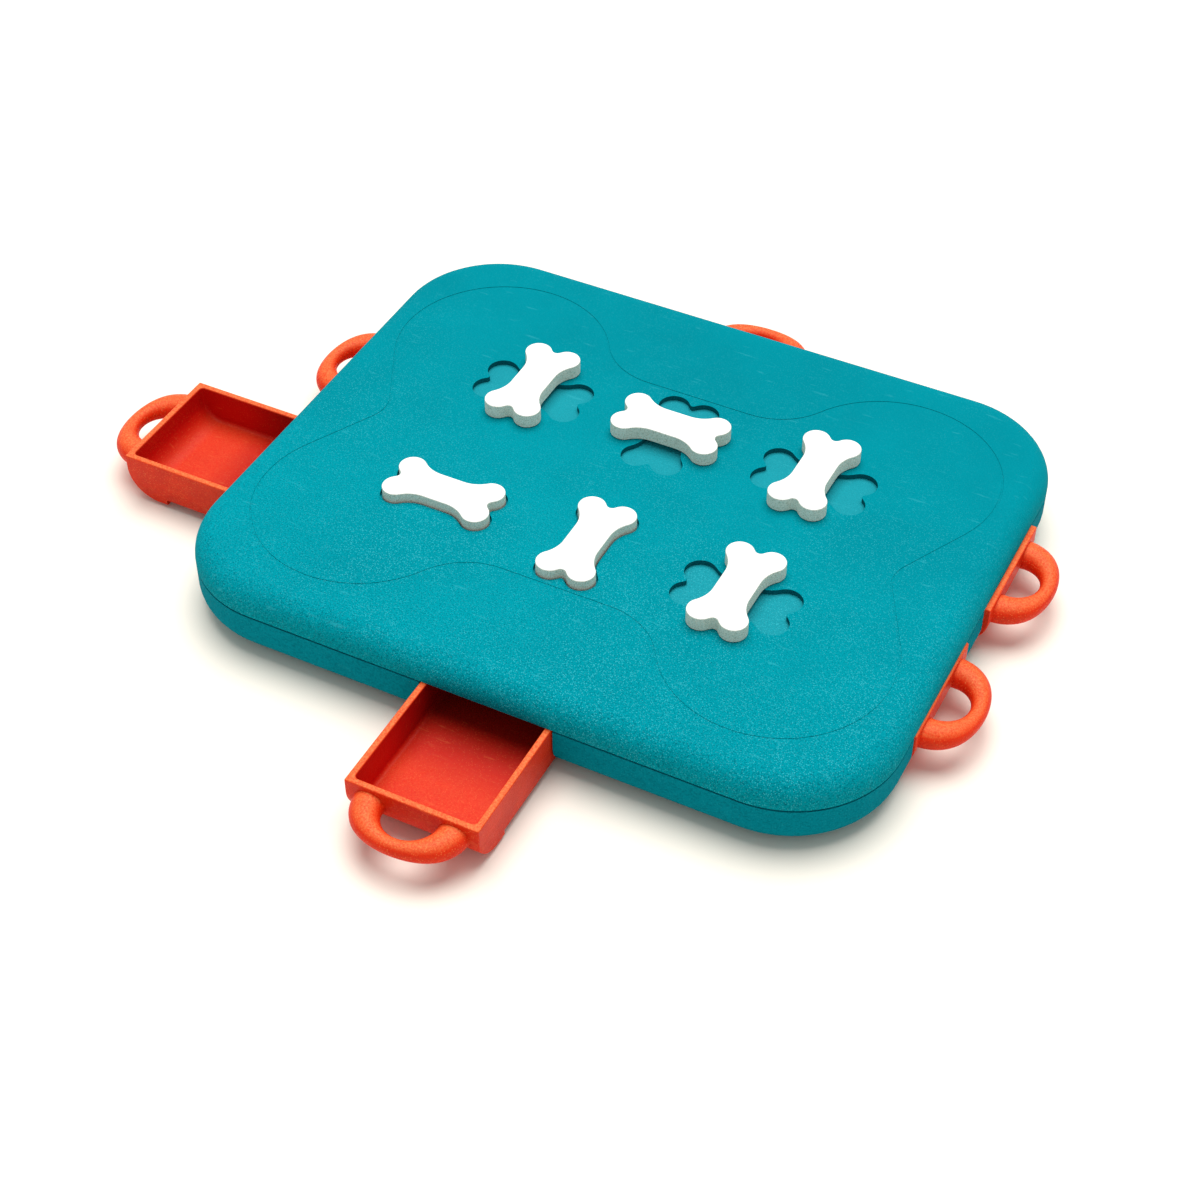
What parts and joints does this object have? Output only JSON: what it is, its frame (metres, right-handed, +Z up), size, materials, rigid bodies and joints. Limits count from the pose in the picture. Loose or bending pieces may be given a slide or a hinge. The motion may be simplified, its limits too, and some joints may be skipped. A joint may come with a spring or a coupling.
{
  "type": "dog puzzle feeder toy",
  "caption": "Flat rounded puzzle feeder board for dogs, with pull-out treat drawers round its edge and turning bone-shaped blocks that latch them",
  "frame": {"origin": "centre of the board on the plane that its feet stand on", "axes": "+X along the board's long side, +Y towards the row of raised blocks at the back, +Z up"},
  "size_m": [0.5237, 0.4581, 0.0533],
  "materials": {
    "shell_plastic": "fine grained matte, teal",
    "tray_plastic": "fine grained matte, teal",
    "drawer_plastic": "satin, orange red",
    "bone_plastic": "matte, off white",
    "tongue_plastic": "matte, off white",
    "screw_steel": "zinc plated",
    "foot_rubber": "soft matte"
  },
  "bodies": {
    "board": {"top_board": "shell_plastic", "base_tray": "tray_plastic", "case_screws": "screw_steel", "rubber_foot_left_back": "foot_rubber", "rubber_foot_left_middle": "foot_rubber", "rubber_foot_left_front": "foot_rubber", "rubber_foot_centre": "foot_rubber", "rubber_foot_right_back": "foot_rubber", "rubber_foot_right_middle": "foot_rubber", "rubber_foot_right_front": "foot_rubber"},
    "drawer_left_back": {"drawer_left_back": "drawer_plastic"},
    "drawer_left_front": {"drawer_left_front": "drawer_plastic"},
    "drawer_right_back": {"drawer_right_back": "drawer_plastic"},
    "drawer_right_front": {"drawer_right_front": "drawer_plastic"},
    "drawer_back": {"drawer_back": "drawer_plastic"},
    "drawer_front": {"drawer_front": "drawer_plastic"},
    "bone_left_back": {"bone_left_back": "bone_plastic", "latch_tongue_left_back": "tongue_plastic", "latch_screw_left_back": "screw_steel"},
    "bone_left_front": {"bone_left_front": "bone_plastic", "latch_tongue_left_front": "tongue_plastic", "latch_screw_left_front": "screw_steel"},
    "bone_right_back": {"bone_right_back": "bone_plastic", "latch_tongue_right_back": "tongue_plastic", "latch_screw_right_back": "screw_steel"},
    "bone_right_front": {"bone_right_front": "bone_plastic", "latch_tongue_right_front": "tongue_plastic", "latch_screw_right_front": "screw_steel"},
    "bone_back": {"bone_back": "bone_plastic", "latch_tongue_back": "tongue_plastic", "latch_screw_back": "screw_steel"},
    "bone_front": {"bone_front": "bone_plastic", "latch_tongue_front": "tongue_plastic", "latch_screw_front": "screw_steel"}
  },
  "joints": [
    {"name": "drawer_left_back_slide", "type": "slide", "parent": "board", "child": "drawer_left_back", "axis": [-1, 0, 0], "range_m": [-0.0017, 0.0803]},
    {"name": "drawer_left_front_slide", "type": "slide", "parent": "board", "child": "drawer_left_front", "axis": [-1, 0, 0], "range_m": [-0.072, 0.01]},
    {"name": "drawer_right_back_slide", "type": "slide", "parent": "board", "child": "drawer_right_back", "axis": [1, 0, 0], "range_m": [-0.0031, 0.0789]},
    {"name": "drawer_right_front_slide", "type": "slide", "parent": "board", "child": "drawer_right_front", "axis": [1, 0, 0], "range_m": [-0.0011, 0.0809]},
    {"name": "drawer_back_slide", "type": "slide", "parent": "board", "child": "drawer_back", "axis": [0, 1, 0], "range_m": [-0.005, 0.077]},
    {"name": "drawer_front_slide", "type": "slide", "parent": "board", "child": "drawer_front", "axis": [0, -1, 0], "range_m": [-0.0739, 0.0081]},
    {"name": "bone_left_back_turn", "type": "hinge", "parent": "board", "child": "bone_left_back", "pos_m": [-0.0866, 0.0514, 0.0446], "axis": [0, 0, 1], "range_deg": [-180, 0]},
    {"name": "bone_left_front_lift", "type": "slide", "parent": "board", "child": "bone_left_front", "axis": [0, 0, 1], "range_m": [0, 0.0035]},
    {"name": "bone_right_back_turn", "type": "hinge", "parent": "board", "child": "bone_right_back", "pos_m": [0.0866, 0.0514, 0.0446], "axis": [0, 0, 1], "range_deg": [-180, 0]},
    {"name": "bone_right_front_turn", "type": "hinge", "parent": "board", "child": "bone_right_front", "pos_m": [0.0866, -0.0514, 0.0446], "axis": [0, 0, 1], "range_deg": [-180, 0]},
    {"name": "bone_back_turn", "type": "hinge", "parent": "board", "child": "bone_back", "pos_m": [0, 0.0514, 0.0446], "axis": [0, 0, 1], "range_deg": [-180, 0]},
    {"name": "bone_front_lift", "type": "slide", "parent": "board", "child": "bone_front", "axis": [0, 0, 1], "range_m": [0, 0.0035]}
  ]
}
